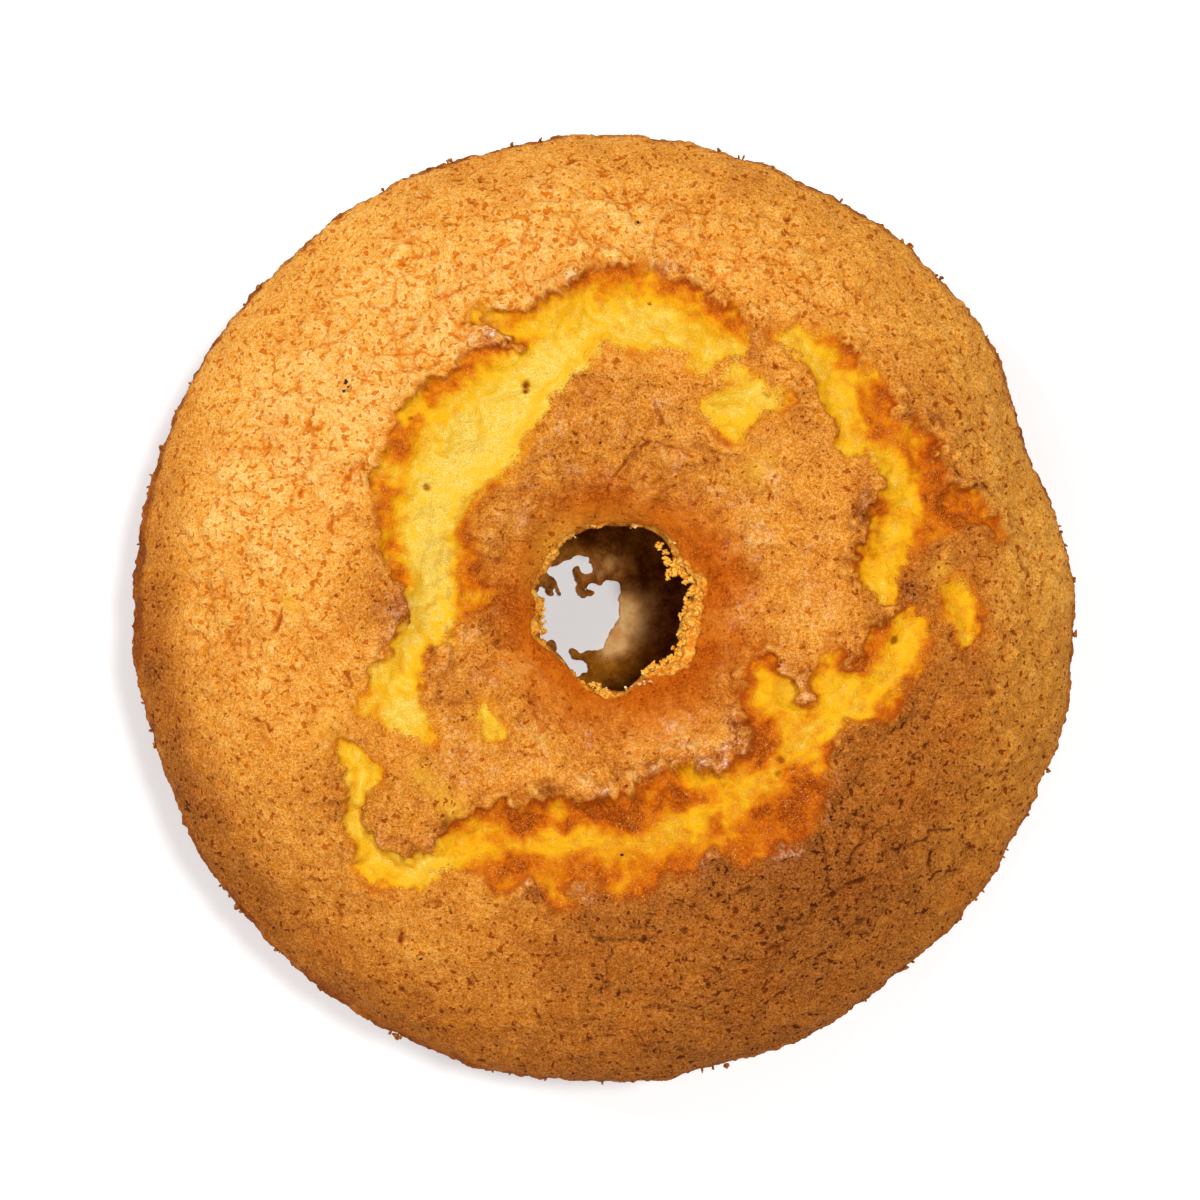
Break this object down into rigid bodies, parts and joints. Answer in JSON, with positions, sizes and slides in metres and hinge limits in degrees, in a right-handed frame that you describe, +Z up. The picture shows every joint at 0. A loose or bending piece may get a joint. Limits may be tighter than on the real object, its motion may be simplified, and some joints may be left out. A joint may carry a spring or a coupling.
{
  "type": "ring cake",
  "caption": "Round ring cake with a hole through its middle: flat base, side leaning outwards, domed browned crust split by a ragged ring-shaped crack.",
  "frame": {"origin": "middle of the base, on the surface the cake stands on", "axes": "+Z up through the hole; +Y towards the top of the picture, +X to its right"},
  "size_m": [0.2384, 0.2398, 0.0764],
  "materials": {
    "crust": "matte",
    "crumb": "matte"
  },
  "bodies": {
    "root": {"cake": "crust"}
  },
  "joints": []
}
